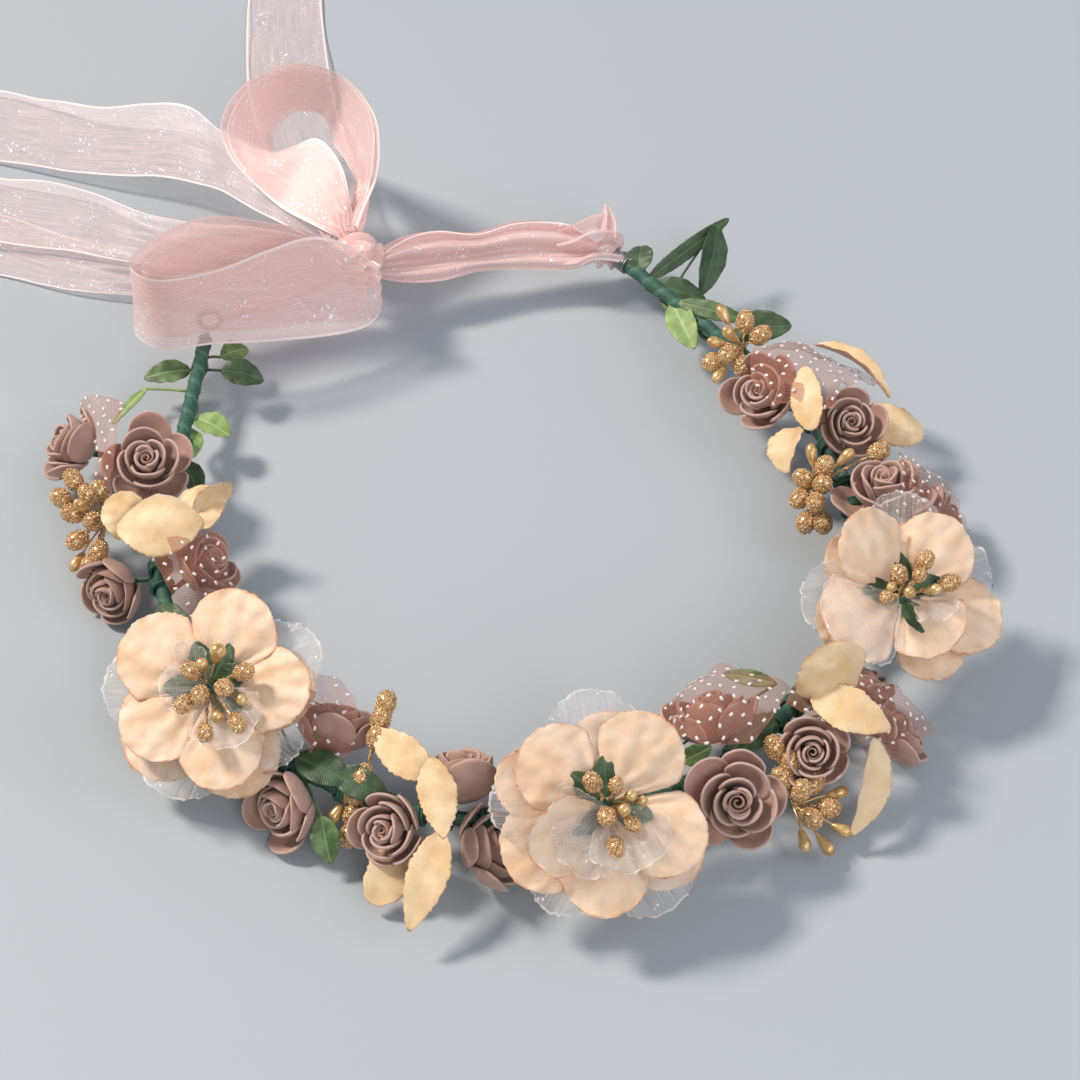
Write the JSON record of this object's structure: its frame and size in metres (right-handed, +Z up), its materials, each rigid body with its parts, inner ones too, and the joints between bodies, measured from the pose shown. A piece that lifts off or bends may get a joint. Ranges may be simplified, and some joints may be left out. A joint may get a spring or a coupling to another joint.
{
  "type": "flower crown",
  "caption": "Flower crown: a taped wire ring, open at the back, dressed with foam roses, cloth blossoms, leaves and gold sprays, and closed by a tied organza ribbon bow.",
  "frame": {"origin": "centre of the wire ring, on the table that the crown lies on", "axes": "+Z up out of the table, -Y to the middle flower at the front, +X to the wearer's left, along the line through the two wire eyes"},
  "size_m": [0.2598, 0.3832, 0.0481],
  "materials": {
    "steel_wire": "bare drawn wire",
    "floral_tape": "waxed crepe paper tape",
    "rose_foam": "soft foam sheet",
    "cream_satin": "stiffened satin cloth",
    "white_organza": "sheer organza",
    "leaf_fabric": "coated cloth",
    "gold_bead": "pearlised gold",
    "dotted_net": "flocked net",
    "pink_organza": "sheer shot organza"
  },
  "bodies": {
    "crown": {"wire_core": "steel_wire", "tape_wrap": "floral_tape", "rose_a1": "rose_foam", "rose_a2": "rose_foam", "rose_a3": "rose_foam", "rose_a4": "rose_foam", "rose_b1": "rose_foam", "rose_b2": "rose_foam", "rose_c1": "rose_foam", "rose_c2": "rose_foam", "rose_c3": "rose_foam", "rose_d1": "rose_foam", "rose_d2": "rose_foam", "rose_e1": "rose_foam", "rose_e2": "rose_foam", "rose_e3": "rose_foam", "rose_f1": "rose_foam", "rose_f2": "rose_foam", "rose_g1": "rose_foam", "rose_g2": "rose_foam", "bloom_left_leaves": "leaf_fabric", "bloom_left_petals_lower": "cream_satin", "bloom_left_organza": "white_organza", "bloom_left_petals_upper": "cream_satin", "bloom_left_stamens": "gold_bead", "bloom_front_leaves": "leaf_fabric", "bloom_front_petals_lower": "cream_satin", "bloom_front_organza": "white_organza", "bloom_front_petals_upper": "cream_satin", "bloom_front_stamens": "gold_bead", "bloom_right_leaves": "leaf_fabric", "bloom_right_petals_lower": "cream_satin", "bloom_right_organza": "white_organza", "bloom_right_petals_upper": "cream_satin", "bloom_right_stamens": "gold_bead", "blossom_a": "cream_satin", "leaves_c": "cream_satin", "leaves_e": "cream_satin", "leaves_g": "cream_satin", "spray_a": "gold_bead", "spray_b": "gold_bead", "spray_d": "gold_bead", "spray_f": "gold_bead", "spray_g": "gold_bead", "net_a": "dotted_net", "net_b": "dotted_net", "net_d": "dotted_net", "net_f": "dotted_net", "vine_left": "leaf_fabric", "vine_right": "leaf_fabric", "tail_back": "pink_organza", "tail_left_upper": "pink_organza", "tail_left_middle": "pink_organza", "tail_left_lower": "pink_organza"},
    "bow": {"bow_knot": "pink_organza", "bow_loop_left": "pink_organza", "bow_loop_back": "pink_organza", "strand_right": "pink_organza", "strand_left": "pink_organza"}
  },
  "joints": [
    {"name": "bow_swing", "type": "hinge", "parent": "crown", "child": "bow", "pos_m": [0, 0.097, 0.013], "axis": [1, 0, 0], "range_deg": [0, 15]}
  ]
}
